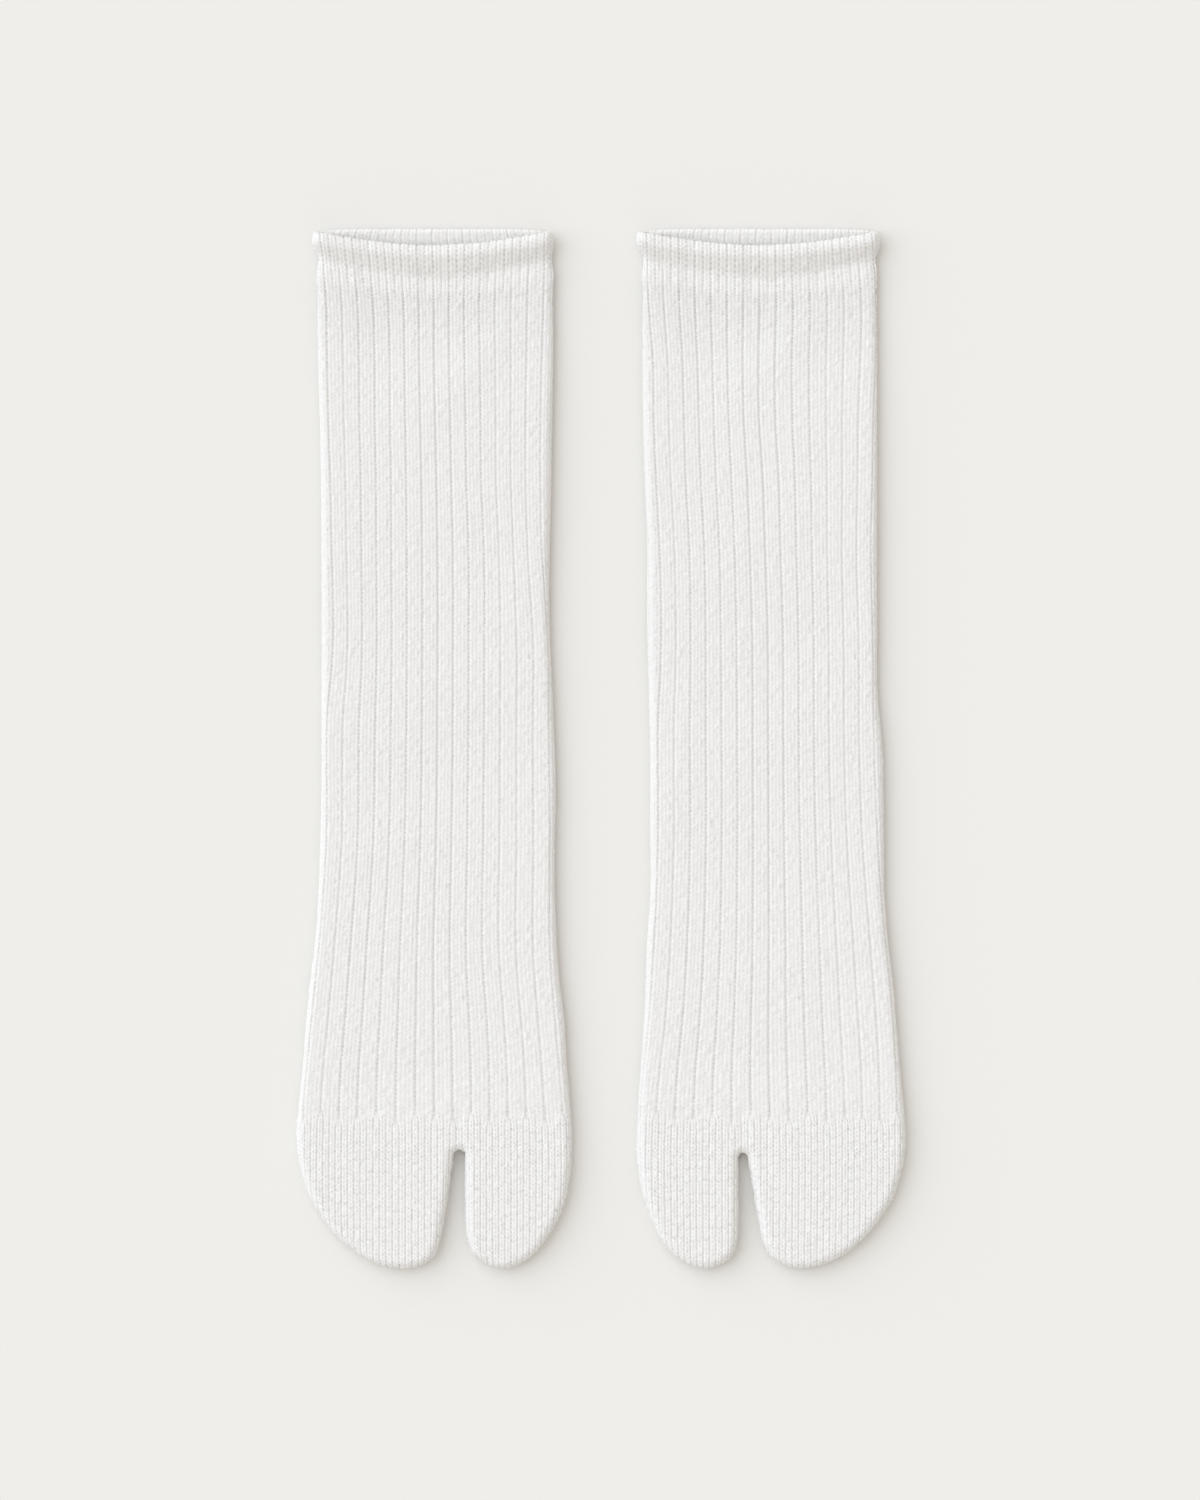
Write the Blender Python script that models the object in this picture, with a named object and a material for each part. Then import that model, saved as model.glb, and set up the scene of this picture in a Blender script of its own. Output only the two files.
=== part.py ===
"""Pair of split-toe (tabi) tube socks in thick white cotton rib, laid flat side by side.

Each sock is one knitted tube: a wall of cloth with a mouth at the cuff and two closed
toe pockets at the other end. It lies on its back panel, and its front panel lies on that.
The wall is a loft between unlike sections: rows of points run round the tube, ribbed on
the outside, plain on the inside, and fork in two where the toe pockets part.
The tables give the plan in millimetres; the mesh is in metres, +Z up, +Y towards the cuffs.
"""

import bmesh
import bpy
import numpy as np

MM = 0.001

# --- driving dimensions, in millimetres --------------------------------------------------
WALL = 2.5              # thickness of the cloth over a rib's crest
RIBS = 16               # broad ribs on the front panel, from fold to fold
POINTS_PER_RIB = 4      # groove, shoulder, crest, shoulder
UPPER_FOLD = 8.0        # width over which the front panel rounds down to a side fold
LOWER_FOLD = 4.5        # width over which the back panel rounds up to a side fold
SLIT_ROUND = 2.0        # radius of the round end of the slit between the toe pockets

# --- how finely the mesh follows the form ------------------------------------------------
FLAT_COLUMNS = 6        # across the flat of the back panel
PLAIN_FRONT = 36        # across the front panel where there are no ribs
PLAIN_FOLD = 3          # up each side fold of the back panel there
INSIDE_FRONT = 16       # across the plain inside of the front panel
INSIDE_FOLD = 2         # up each side fold of the inside of the back panel
CURVE_STEPS = 240       # straight steps in which a panel's curve is measured
LEG_STEPS = 240         # straight steps of the outline along each side of the leg
POCKET_STEPS = 50       # and along each edge of a toe pocket
HALVINGS = 30           # of the search for the edge of the inside

# --- plan of each sock: the x of its side edges, level by level above the toe tips -------
SIDE_COLUMNS = ("up", "left", "right")
RIGHT_FOOT_SIDES = (
    (388.4, -107.8, -18.5),
    (384.5, -108.3, -18.0),
    (378.5, -105.4, -18.8),
    (373.0, -106.9, -17.3),
    (363.0, -106.9, -17.3),
    (303.0, -105.4, -18.0),
    (243.0, -105.0, -18.8),
    (213.0, -105.0, -17.6),
    (183.0, -105.0, -16.5),
    (153.0, -105.7, -16.9),
    (123.0, -107.3, -16.1),
    (108.0, -109.2, -15.0),
    (93.0, -110.7, -13.2),
    (78.0, -111.8, -12.4),
    (63.0, -113.3, -11.2),
    (52.0, -114.0, -10.7),
)
LEFT_FOOT_SIDES = (
    (388.4, 13.4, 104.3),
    (384.5, 13.1, 104.7),
    (378.5, 16.4, 102.8),
    (373.0, 15.2, 103.7),
    (363.0, 15.0, 103.8),
    (303.0, 15.7, 103.9),
    (273.0, 16.9, 103.9),
    (243.0, 16.9, 103.9),
    (213.0, 17.6, 104.2),
    (198.0, 18.0, 105.7),
    (168.0, 18.0, 106.4),
    (138.0, 18.0, 106.8),
    (123.0, 16.9, 108.0),
    (108.0, 16.4, 109.8),
    (93.0, 15.8, 111.0),
    (78.0, 14.7, 112.2),
    (63.0, 13.6, 113.6),
    (52.0, 13.3, 114.2),
)

# --- plan of the toe pockets: their outer edges and the two edges of the slit ------------
TOE_COLUMNS = ("up", "left", "slit_left", "slit_right", "right")
RIGHT_FOOT_TOES = (
    (40.7, -113.3, -55.1, -51.0, -10.9),
    (33.2, -111.4, -56.3, -51.0, -11.6),
    (25.7, -108.5, -57.2, -51.0, -13.1),
    (18.2, -103.9, -58.5, -50.9, -16.0),
    (10.7, -97.5, -60.0, -49.9, -20.5),
    (5.4, -90.8, -61.9, -47.8, -24.9),
    (1.5, -83.2, -66.4, -42.4, -30.8),
    (0.0, -74.3, -74.3, -36.6, -36.6),
)
LEFT_FOOT_TOES = (
    (40.7, 13.5, 51.6, 54.9, 113.6),
    (33.2, 14.5, 51.7, 56.3, 111.8),
    (25.7, 16.2, 51.8, 57.4, 109.0),
    (18.2, 18.8, 51.7, 58.8, 104.3),
    (10.7, 22.4, 51.3, 60.3, 97.9),
    (5.4, 27.0, 49.6, 62.8, 91.4),
    (1.5, 33.0, 45.0, 68.3, 83.5),
    (0.0, 39.0, 39.0, 74.6, 74.6),
)
RIGHT_FOOT_SLIT_END = 44.4      # how far up the slit between the toe pockets reaches
LEFT_FOOT_SLIT_END = 43.4

# --- the wall's form, level by level -----------------------------------------------------
# dip: how far the front panel's row curves down at its middle; rise: how far the back
# panel's row stands above the level; gap: between the panels; dent: how far the front
# panel is pressed in; rib and fine_rib: how deep the grooves of each kind of rib are
FORM_COLUMNS = ("up", "dip", "rise", "gap", "dent", "rib", "fine_rib")
FORM = (
    (388.4, 5.1, 1.2, 3.8, 0.0, 0.0, 0.0),
    (387.6, 5.1, 1.2, 3.7, 0.3, 0.0, 0.2),
    (386.0, 5.2, 1.0, 3.6, 0.0, 0.0, 0.4),
    (383.6, 5.6, 0.7, 3.1, 0.2, 0.0, 0.4),
    (381.0, 6.5, 0.4, 2.4, 0.7, 0.0, 0.4),
    (378.5, 7.3, 0.2, 1.6, 1.0, 0.0, 0.4),
    (376.2, 6.9, 0.0, 1.6, 0.4, 0.0, 0.4),
    (372.0, 6.0, 0.0, 1.5, 0.1, 0.1, 0.4),
    (366.0, 4.8, 0.0, 1.4, 0.0, 0.6, 0.0),
    (355.0, 3.0, 0.0, 1.4, 0.0, 0.6, 0.0),
    (332.0, 0.8, 0.0, 1.4, 0.0, 0.6, 0.0),
    (302.0, 0.0, 0.0, 1.4, 0.0, 0.6, 0.0),
    (272.0, 0.0, 0.0, 1.3, 0.0, 0.6, 0.0),
    (243.0, 0.0, 0.0, 1.4, 0.0, 0.6, 0.0),
    (213.0, 0.0, 0.0, 1.3, 0.0, 0.6, 0.0),
    (186.0, 0.0, 0.0, 1.4, 0.0, 0.6, 0.0),
    (163.0, 0.0, 0.0, 1.5, 0.0, 0.6, 0.0),
    (143.0, 0.0, 0.0, 1.6, 0.0, 0.6, 0.0),
    (125.0, 0.0, 0.0, 1.7, 0.0, 0.6, 0.0),
    (108.0, 0.0, 0.0, 1.8, 0.0, 0.6, 0.0),
    (93.0, 0.0, 0.0, 1.9, 0.0, 0.6, 0.0),
    (78.0, 0.0, 0.0, 2.0, 0.0, 0.6, 0.0),
    (66.0, 0.0, 0.0, 2.2, 0.0, 0.5, 0.0),
    (58.0, 0.0, 0.0, 2.4, 0.0, 0.0, 0.0),
    (40.0, 0.0, 0.0, 2.6, 0.0, 0.0, 0.0),
    (0.0, 0.0, 0.0, 2.6, 0.0, 0.0, 0.0),
)
RIBBED_FROM = 66.0              # lowest level that has ribs
PLAIN_LEVELS = (58.0, 52.0)     # plain rows between the ribs and the toe pockets
INSIDE_LEVELS = (387.6, 383.6, 378.5, 372.0, 355.0, 302.0, 243.0, 186.0, 143.0, 108.0, 78.0, 60.0)

# --- rows at the toes, on the outer surface and on the inside ----------------------------
# FORK_ROWS are millimetres above the end of the slit; POCKET_ROWS are shares of the way
# from there to the toe tip
FORK_ROWS = (5.2, 2.4, 0.8)
INSIDE_FORK_ROWS = (5.0, 1.2)
POCKET_ROWS = (0.016, 0.045, 0.10, 0.22, 0.36, 0.5, 0.63, 0.74, 0.83, 0.9, 0.95, 0.976)
INSIDE_POCKET_ROWS = (0.04, 0.1, 0.23, 0.4, 0.58, 0.72, 0.83, 0.91, 0.97)

# --- finish ------------------------------------------------------------------------------
COTTON_WHITE = (0.84, 0.84, 0.83, 1.0)
COTTON_ROUGHNESS = 0.95


def table(columns, rows):
    """Rows of a table as one array for each named column, lowest level first."""
    ordered = sorted(rows)
    return {name: np.array(values) for name, values in zip(columns, zip(*ordered))}


def smooth(at, places, values):
    """Value of a smooth curve through a table's column (cubic, with averaged slopes)."""
    slopes = np.gradient(values, places)
    at = np.clip(at, places[0], places[-1])
    span = np.clip(np.searchsorted(places, at, side="right") - 1, 0, len(places) - 2)
    width = places[span + 1] - places[span]
    t = (at - places[span]) / width
    rest = 1 - t
    return (
        values[span] * (1 + 2 * t) * rest**2
        + values[span + 1] * (1 + 2 * rest) * t**2
        + slopes[span] * width * t * rest**2
        - slopes[span + 1] * width * rest * t**2
    )


def dome(share):
    """Quarter of an ellipse: 0 at a fold's edge, 1 where the panel is flat."""
    share = np.clip(share, 0, 1)
    return np.sqrt(1 - (1 - share) ** 2)


def even_columns(left, right, reach, height, count):
    """X positions from left to right, evenly spaced along a panel that rounds at both folds."""
    reach = min(reach, (right - left) / 2)
    x = left + (right - left) * (1 - np.cos(np.linspace(0, np.pi, CURVE_STEPS))) / 2
    z = height * dome(np.minimum(x - left, right - x) / reach)
    along = np.concatenate(([0], np.cumsum(np.hypot(np.diff(x), np.diff(z)))))
    return np.interp(np.linspace(0, along[-1], count + 1), along, x)


def flat_columns(left, right, fold, steps, count):
    """X positions from left to right: steps up each side fold, and count across the flat."""
    fold = min(fold, 0.4 * (right - left))
    turn = fold * (1 - np.cos(np.linspace(0, np.pi / 2, steps + 1)))
    flat = np.linspace(left + fold, right - fold, count + 1)
    return np.concatenate((left + turn[:-1], flat, right - turn[-2::-1]))


class Plan:
    """Outline of one sock, seen from above."""

    def __init__(self, sides, toes, slit_end):
        self.sides = table(SIDE_COLUMNS, sides)
        self.toes = table(TOE_COLUMNS, toes)
        self.slit_end = slit_end
        lowest = self.toes["up"][-1]
        self.slit_middle = (self.slit("slit_left", lowest) + self.slit("slit_right", lowest)) / 2
        self.outline = self.trace()

    def side(self, name, up):
        """Edge of the sock on one side; its levels are rooted, so the toe ends are round."""
        levels = np.concatenate((self.toes["up"], self.sides["up"]))
        edges = np.concatenate((self.toes[name], self.sides[name]))
        return smooth(np.sqrt(up), np.sqrt(levels), edges)

    def slit(self, name, up):
        """Edge of the slit between the pockets, below its round end."""
        return smooth(np.sqrt(up), np.sqrt(self.toes["up"]), self.toes[name])

    def slit_edge(self, name, up):
        """Edge of the slit at any level of the pockets, its round end included."""
        start = self.slit_end - SLIT_ROUND
        edge = self.slit(name, np.minimum(up, start))
        share = np.clip((up - start) / SLIT_ROUND, 0, 1)
        return self.slit_middle + (edge - self.slit_middle) * np.sqrt(1 - share**2)

    def trace(self):
        """The outline as short straight lines; it runs on past the cuff, which is open."""
        rim = self.sides["up"][-1]
        leg = np.linspace(rim + UPPER_FOLD, self.slit_end, LEG_STEPS)
        pocket = self.slit_end * (1 + np.cos(np.linspace(0, np.pi, POCKET_STEPS))) / 2
        turn = pocket[::-1]
        lines = (
            (self.side("left", leg), leg),
            (self.side("left", pocket), pocket),
            (self.slit_edge("slit_left", turn), turn),
            (self.slit_edge("slit_right", pocket), pocket),
            (self.side("right", turn), turn),
            (self.side("right", leg[::-1]), leg[::-1]),
        )
        return np.concatenate([np.column_stack(line) for line in lines])

    def depth(self, x, y):
        """Distance of points from the nearest edge of the sock."""
        start, end = self.outline[:-1], self.outline[1:]
        run = end - start
        square = np.maximum((run**2).sum(1), 1e-12)
        to_x = np.asarray(x)[:, None] - start[:, 0]
        to_y = np.asarray(y)[:, None] - start[:, 1]
        share = np.clip((to_x * run[:, 0] + to_y * run[:, 1]) / square, 0, 1)
        away = np.hypot(to_x - share * run[:, 0], to_y - share * run[:, 1])
        return away.min(1)

    def inset_edge(self, edge, middle, up, inset):
        """X at one level where the outline, moved in by inset, lies between edge and middle."""
        if inset == 0:
            return edge
        outer, inner = edge, middle
        for _ in range(HALVINGS):
            half = (outer + inner) / 2
            if self.depth([half], [up])[0] < inset:
                outer = half
            else:
                inner = half
        return inner


class Wall:
    """Points and faces of one sock's wall, made as rows of points joined by strips.

    A row is a pair of lists of points, its front and its back, which share their ends on
    the side folds. Its inset says which surface it is on: 0 on the outer one, WALL on the
    inside, and half of that along the rim.
    """

    def __init__(self, plan):
        self.plan = plan
        self.form = table(FORM_COLUMNS, FORM)
        self.points = []
        self.faces = []

    def at(self, name, level):
        """Value of one of the form's columns at any level."""
        return np.interp(level, self.form["up"], self.form[name])

    def add(self, points):
        """Keep new points, and give their numbers."""
        first = len(self.points)
        self.points.extend(tuple(point) for point in points)
        return list(range(first, len(self.points)))

    def join(self, one, two):
        """Fill the strip between two rows of points; unlike counts are matched by place."""
        if len(one) == len(two):
            for i in range(len(one) - 1):
                self.faces.append((one[i], one[i + 1], two[i + 1], two[i]))
            return
        along_one, along_two = self.shares(one), self.shares(two)
        i, j = 0, 0
        while i < len(one) - 1 or j < len(two) - 1:
            step_one = along_one[i + 1] if i < len(one) - 1 else np.inf
            step_two = along_two[j + 1] if j < len(two) - 1 else np.inf
            if step_one <= step_two:
                self.faces.append((one[i], one[i + 1], two[j]))
                i += 1
            else:
                self.faces.append((one[i], two[j + 1], two[j]))
                j += 1

    def shares(self, row):
        """How far across its row each point lies, from 0 to 1."""
        x = np.array([self.points[number][0] for number in row])
        return (x - x[0]) / (x[-1] - x[0]) if len(row) > 1 else np.zeros(1)

    def heights(self, x, y, level, inset, front):
        """Height of a panel's points: each panel rounds towards the other at the sock's edge."""
        middle = WALL + self.at("gap", level) / 2
        fold = UPPER_FOLD if front else LOWER_FOLD
        share = dome((self.plan.depth(x, y) - inset) / (fold - inset))
        if front:
            dent = 0 if inset else self.at("dent", level)
            return middle + (middle - inset - dent) * share
        return middle - (middle - inset) * share

    def panel(self, x, level, inset, front):
        """Points of one row of a panel, from its left fold to its right fold."""
        across = 2 * (x - x[0]) / (x[-1] - x[0]) - 1
        if front:
            y = level - self.at("dip", level) * (1 - across**2)
        else:
            y = level + self.at("rise", level) * (1 - across**8)
        return np.column_stack((x, y, self.heights(x, y, level, inset, front)))

    def row(self, left, right, level, inset, fronts, steps, flats):
        """One plain row round the tube or a toe pocket."""
        middle = WALL + self.at("gap", level) / 2 - inset
        x = even_columns(left, right, UPPER_FOLD - inset, middle, fronts)
        front = self.add(self.panel(x, level, inset, True))
        x = flat_columns(left, right, LOWER_FOLD - inset, steps, flats)
        back = self.add(self.panel(x, level, inset, False)[1:-1])
        return front, [front[0], *back, front[-1]]

    def ribbed_row(self, level):
        """One row of the outer surface with its grooves cut in between the ribs."""
        left, right = self.plan.side("left", level), self.plan.side("right", level)
        middle = WALL + self.at("gap", level) / 2
        count = RIBS * POINTS_PER_RIB
        x = even_columns(left, right, UPPER_FOLD, middle, count)
        front = self.panel(x, level, 0, True)
        x = flat_columns(left, right, LOWER_FOLD, POINTS_PER_RIB, FLAT_COLUMNS)
        back = self.panel(x, level, 0, False)
        ring = np.concatenate((front, back[-2:0:-1]))
        steps = len(ring)
        number = np.arange(steps)
        groove = np.where(number % POINTS_PER_RIB == 0, self.at("rib", level), 0)
        fine_groove = np.where(number % 2 == 0, self.at("fine_rib", level), 0)
        ribbed = (number > 0) & (number < count)
        depth = np.where(ribbed, groove + fine_groove, 0)
        along = np.roll(ring, -1, axis=0) - np.roll(ring, 1, axis=0)
        outward = np.column_stack((-along[:, 2], np.zeros(steps), along[:, 0]))
        outward /= np.linalg.norm(outward, axis=1)[:, None]
        ring = ring - outward * depth[:, None]
        ring[:, 2] = np.maximum(ring[:, 2], 0)
        ids = self.add(ring)
        return ids[: count + 1], [ids[0], *ids[:count:-1], ids[count]]

    def rim(self, level):
        """The row along the rim, half way through the wall."""
        half = WALL / 2
        edges = self.tube_edges(level, half)
        return self.row(*edges, level, half, RIBS * POINTS_PER_RIB, POINTS_PER_RIB, FLAT_COLUMNS)

    def pocket_row(self, side, up, inset, counts):
        """A row round the toe pocket on one side of the slit."""
        outer = self.plan.side(side, up)
        if up < self.plan.slit_end:
            inner = self.plan.slit_edge("slit_" + side, up)
        else:
            inner = self.plan.slit_middle
        middle = (outer + inner) / 2
        edges = (
            self.plan.inset_edge(outer, middle, up, inset),
            self.plan.inset_edge(inner, middle, up, inset),
        )
        return self.row(min(edges), max(edges), up, inset, *counts)

    def split_columns(self, level, inset, front, counts):
        """X positions across a row that is dense above the slit, and the place of its middle."""
        left, right = self.tube_edges(level, inset)
        halves = []
        middle = self.plan.slit_middle
        for start, end, half in ((left, middle, counts[0]), (middle, right, counts[1])):
            fronts, steps, flats = half
            if front:
                height = WALL + self.at("gap", level) / 2 - inset
                halves.append(even_columns(start, end, UPPER_FOLD - inset, height, fronts))
            else:
                halves.append(flat_columns(start, end, LOWER_FOLD - inset, steps, flats))
        return np.concatenate((halves[0], halves[1][1:])), len(halves[0]) - 1

    def toes(self, above, fork_rows, pocket_rows, inset, counts):
        """Plain rows down to the slit, then two pockets, each closed at its tip."""
        end = self.plan.slit_end + inset
        left, right = self.tube_edges(end, inset)
        share = (self.plan.slit_middle - left) / (right - left)
        fronts, steps, flats = counts
        halves = [
            (round(fronts * part), steps, round(flats * part)) for part in (share, 1 - share)
        ]
        for step in (*fork_rows, 0):
            x, front_fork = self.split_columns(end + step, inset, True, halves)
            front = self.add(self.panel(x, end + step, inset, True))
            x, back_fork = self.split_columns(end + step, inset, False, halves)
            back = self.add(self.panel(x, end + step, inset, False)[1:-1])
            back = [front[0], *back, front[-1]]
            if step == 0:
                back[back_fork] = front[front_fork]
            self.join_rows(above, (front, back))
            above = front, back
        starts = {
            "left": (front[: front_fork + 1], back[: back_fork + 1]),
            "right": (front[front_fork:], back[back_fork:]),
        }
        for side, half in zip(("left", "right"), halves):
            above = starts[side]
            for part in pocket_rows:
                up = end - part * self.plan.slit_end
                here = self.pocket_row(side, up, inset, half)
                self.join_rows(above, here)
                above = here
            tip_x = self.plan.toes[side][0]
            tip = self.add([(tip_x, inset, WALL + self.at("gap", 0) / 2)])
            self.join_rows(above, (tip, tip))

    def tube_edges(self, up, inset):
        """X of the leg's left and right edge at one level."""
        return self.plan.side("left", up) + inset, self.plan.side("right", up) - inset

    def join_rows(self, one, two):
        self.join(one[0], two[0])
        self.join(one[1], two[1])

    def build(self):
        """The outer surface from the rim to the toe tips, then the inside the same way."""
        rim_level = self.form["up"][-1]
        rim = self.rim(rim_level)
        above = rim
        for level in self.form["up"][-2::-1]:
            if level < RIBBED_FROM:
                break
            here = self.ribbed_row(level)
            self.join_rows(above, here)
            above = here
        plain = PLAIN_FRONT, PLAIN_FOLD, FLAT_COLUMNS
        for level in PLAIN_LEVELS:
            here = self.row(*self.tube_edges(level, 0), level, 0, *plain)
            self.join_rows(above, here)
            above = here
        self.toes(above, FORK_ROWS, POCKET_ROWS, 0, plain)
        inside = INSIDE_FRONT, INSIDE_FOLD, FLAT_COLUMNS
        above = rim
        for level in INSIDE_LEVELS:
            here = self.row(*self.tube_edges(level, WALL), level, WALL, *inside)
            self.join_rows(above, here)
            above = here
        self.toes(above, INSIDE_FORK_ROWS, INSIDE_POCKET_ROWS, WALL, inside)


def clear_scene():
    for thing in list(bpy.data.objects):
        bpy.data.objects.remove(thing, do_unlink=True)


def cotton(name):
    """Matt white cotton knit."""
    material = bpy.data.materials.new(name)
    material.use_nodes = True
    shader = material.node_tree.nodes["Principled BSDF"]
    shader.inputs["Base Color"].default_value = COTTON_WHITE
    shader.inputs["Roughness"].default_value = COTTON_ROUGHNESS
    shader.inputs["Metallic"].default_value = 0.0
    return material


def add_sock(name, wall, middle, collection):
    """Mesh object of one sock, moved so that the pair's middle is at the origin."""
    mesh = bpy.data.meshes.new(name)
    points = (np.array(wall.points) - middle) * MM
    mesh.from_pydata(points.tolist(), [], wall.faces)
    cloth = bmesh.new()
    cloth.from_mesh(mesh)
    bmesh.ops.recalc_face_normals(cloth, faces=cloth.faces)
    cloth.to_mesh(mesh)
    cloth.free()
    mesh.shade_smooth()
    mesh.materials.append(cotton(name + "_cotton"))
    sock = bpy.data.objects.new(name, mesh)
    collection.objects.link(sock)
    return sock


def main():
    clear_scene()
    collection = bpy.data.collections.new("tabi_socks")
    bpy.context.scene.collection.children.link(collection)
    plans = {
        "sock_right_foot": Plan(RIGHT_FOOT_SIDES, RIGHT_FOOT_TOES, RIGHT_FOOT_SLIT_END),
        "sock_left_foot": Plan(LEFT_FOOT_SIDES, LEFT_FOOT_TOES, LEFT_FOOT_SLIT_END),
    }
    walls = {name: Wall(plan) for name, plan in plans.items()}
    for wall in walls.values():
        wall.build()
    points = np.concatenate([wall.points for wall in walls.values()])
    low, high = points.min(0), points.max(0)
    middle = np.array(((low[0] + high[0]) / 2, (low[1] + high[1]) / 2, low[2]))
    for name, wall in walls.items():
        add_sock(name, wall, middle, collection)


main()
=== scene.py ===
# %% [markdown]
# # A pair of split-toe socks in thick white cotton
# Each sock is one knitted tube that lies flat on a table: a rolled cuff, a broad rib down
# the leg and the foot, and plain knit over the two toe pockets. Every stitch is part of
# the mesh, because thick yarn casts small shadows that a flat surface with a picture of
# stitches on it can't show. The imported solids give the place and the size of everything.

# %% The frame, and the units of this script
import math

import bmesh
import bpy
import numpy as np
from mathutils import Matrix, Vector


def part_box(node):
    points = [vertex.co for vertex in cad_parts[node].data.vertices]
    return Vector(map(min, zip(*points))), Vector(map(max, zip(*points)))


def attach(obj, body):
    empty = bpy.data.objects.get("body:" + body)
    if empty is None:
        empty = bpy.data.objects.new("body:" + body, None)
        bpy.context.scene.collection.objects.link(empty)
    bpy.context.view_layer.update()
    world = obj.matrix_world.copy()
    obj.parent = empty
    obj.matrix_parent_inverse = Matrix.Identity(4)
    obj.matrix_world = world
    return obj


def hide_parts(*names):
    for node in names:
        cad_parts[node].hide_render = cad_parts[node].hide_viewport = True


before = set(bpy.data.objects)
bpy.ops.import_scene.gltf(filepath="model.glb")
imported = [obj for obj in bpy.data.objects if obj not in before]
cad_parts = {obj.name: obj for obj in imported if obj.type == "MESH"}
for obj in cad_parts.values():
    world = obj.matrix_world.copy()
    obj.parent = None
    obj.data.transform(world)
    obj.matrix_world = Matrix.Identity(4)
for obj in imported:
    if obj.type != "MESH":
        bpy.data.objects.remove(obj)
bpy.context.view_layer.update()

MM = 0.001                      # the tables are in millimetres, Blender works in metres

# %% [markdown]
# ## The outline
# A maker draws a sock flat: the two side edges, level by level above the toe tips, and
# round the toes also the two edges of the slit. A smooth curve through a few levels gives
# the outline. The levels are rooted before the curve is drawn, so the toe tips come out
# round and not pointed.

# %% Side edges and toe edges of each sock, in millimetres
RIM_LEVEL = 388.4               # top of the cuff above the toe tips
ON_EDGE = 0.02                  # distance that still counts as on the outline itself
SLIT_ROUND = 2.0                # radius of the round end of the slit
LEG_STEP = 1.0                  # the outline's straight lines beside the foot are this long
POCKET_POINTS = 260             # and it has this many points along each edge of the toes
SHORTEST = 1e-6                 # a line shorter than this has no direction
SIDE_COLUMNS = ("up", "left", "right")
TOE_COLUMNS = ("up", "left", "slit_left", "slit_right", "right")
RIGHT_FOOT_SIDES = (
    (388.4, -107.8, -18.2), (384.5, -108.3, -17.6), (378.5, -105.9, -18.3),
    (373.0, -106.6, -17.4), (363.0, -106.6, -17.3), (303.0, -105.4, -18.0),
    (243.0, -105.0, -18.8), (213.0, -105.0, -17.6), (183.0, -105.0, -16.5),
    (153.0, -105.7, -16.9), (123.0, -107.3, -16.1), (108.0, -109.2, -15.0),
    (93.0, -110.7, -13.2), (78.0, -111.8, -12.4), (63.0, -113.3, -11.2),
    (52.0, -114.0, -10.7),
)
LEFT_FOOT_SIDES = (
    (388.4, 13.4, 104.3), (384.5, 13.1, 104.7), (378.5, 15.7, 103.3),
    (373.0, 15.3, 103.7), (363.0, 15.2, 103.8), (303.0, 15.7, 103.9),
    (273.0, 16.9, 103.9), (243.0, 16.9, 103.9), (213.0, 17.6, 104.2),
    (198.0, 18.0, 105.7), (168.0, 18.0, 106.4), (138.0, 18.0, 106.8),
    (123.0, 16.9, 108.0), (108.0, 16.4, 109.8), (93.0, 15.8, 111.0),
    (78.0, 14.7, 112.2), (63.0, 13.6, 113.6), (52.0, 13.3, 114.2),
)
RIGHT_FOOT_TOES = (
    (40.7, -113.3, -55.1, -51.0, -10.9),
    (33.2, -111.4, -56.3, -51.0, -11.6),
    (25.7, -108.5, -57.2, -51.0, -13.1),
    (18.2, -103.9, -58.5, -50.9, -16.0),
    (10.7, -97.5, -60.0, -49.9, -20.5),
    (5.4, -90.8, -61.9, -47.8, -24.9),
    (1.5, -83.2, -66.4, -42.4, -30.8),
    (0.0, -74.3, -74.3, -36.6, -36.6),
)
LEFT_FOOT_TOES = (
    (40.7, 13.5, 51.6, 54.9, 113.6),
    (33.2, 14.5, 51.7, 56.3, 111.8),
    (25.7, 16.2, 51.8, 57.4, 109.0),
    (18.2, 18.8, 51.7, 58.8, 104.3),
    (10.7, 22.4, 51.3, 60.3, 97.9),
    (5.4, 27.0, 49.6, 62.8, 91.4),
    (1.5, 33.0, 45.0, 68.3, 83.5),
    (0.0, 39.0, 39.0, 74.6, 74.6),
)
RIGHT_FOOT_SLIT_END = 44.4      # how far up the slit reaches
LEFT_FOOT_SLIT_END = 43.4


def table(columns, rows):
    """Rows of a table as one array for each named column, lowest first."""
    return {name: np.array(values) for name, values in zip(columns, zip(*sorted(rows)))}


def smooth(at, places, values):
    """Value of a smooth curve through a table's column."""
    slopes = np.gradient(values, places)
    at = np.clip(at, places[0], places[-1])
    span = np.clip(np.searchsorted(places, at, side="right") - 1, 0, len(places) - 2)
    width = places[span + 1] - places[span]
    t = (at - places[span]) / width
    rest = 1 - t
    return (
        values[span] * (1 + 2 * t) * rest**2
        + values[span + 1] * (1 + 2 * rest) * t**2
        + slopes[span] * width * t * rest**2
        - slopes[span + 1] * width * rest * t**2
    )


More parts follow.
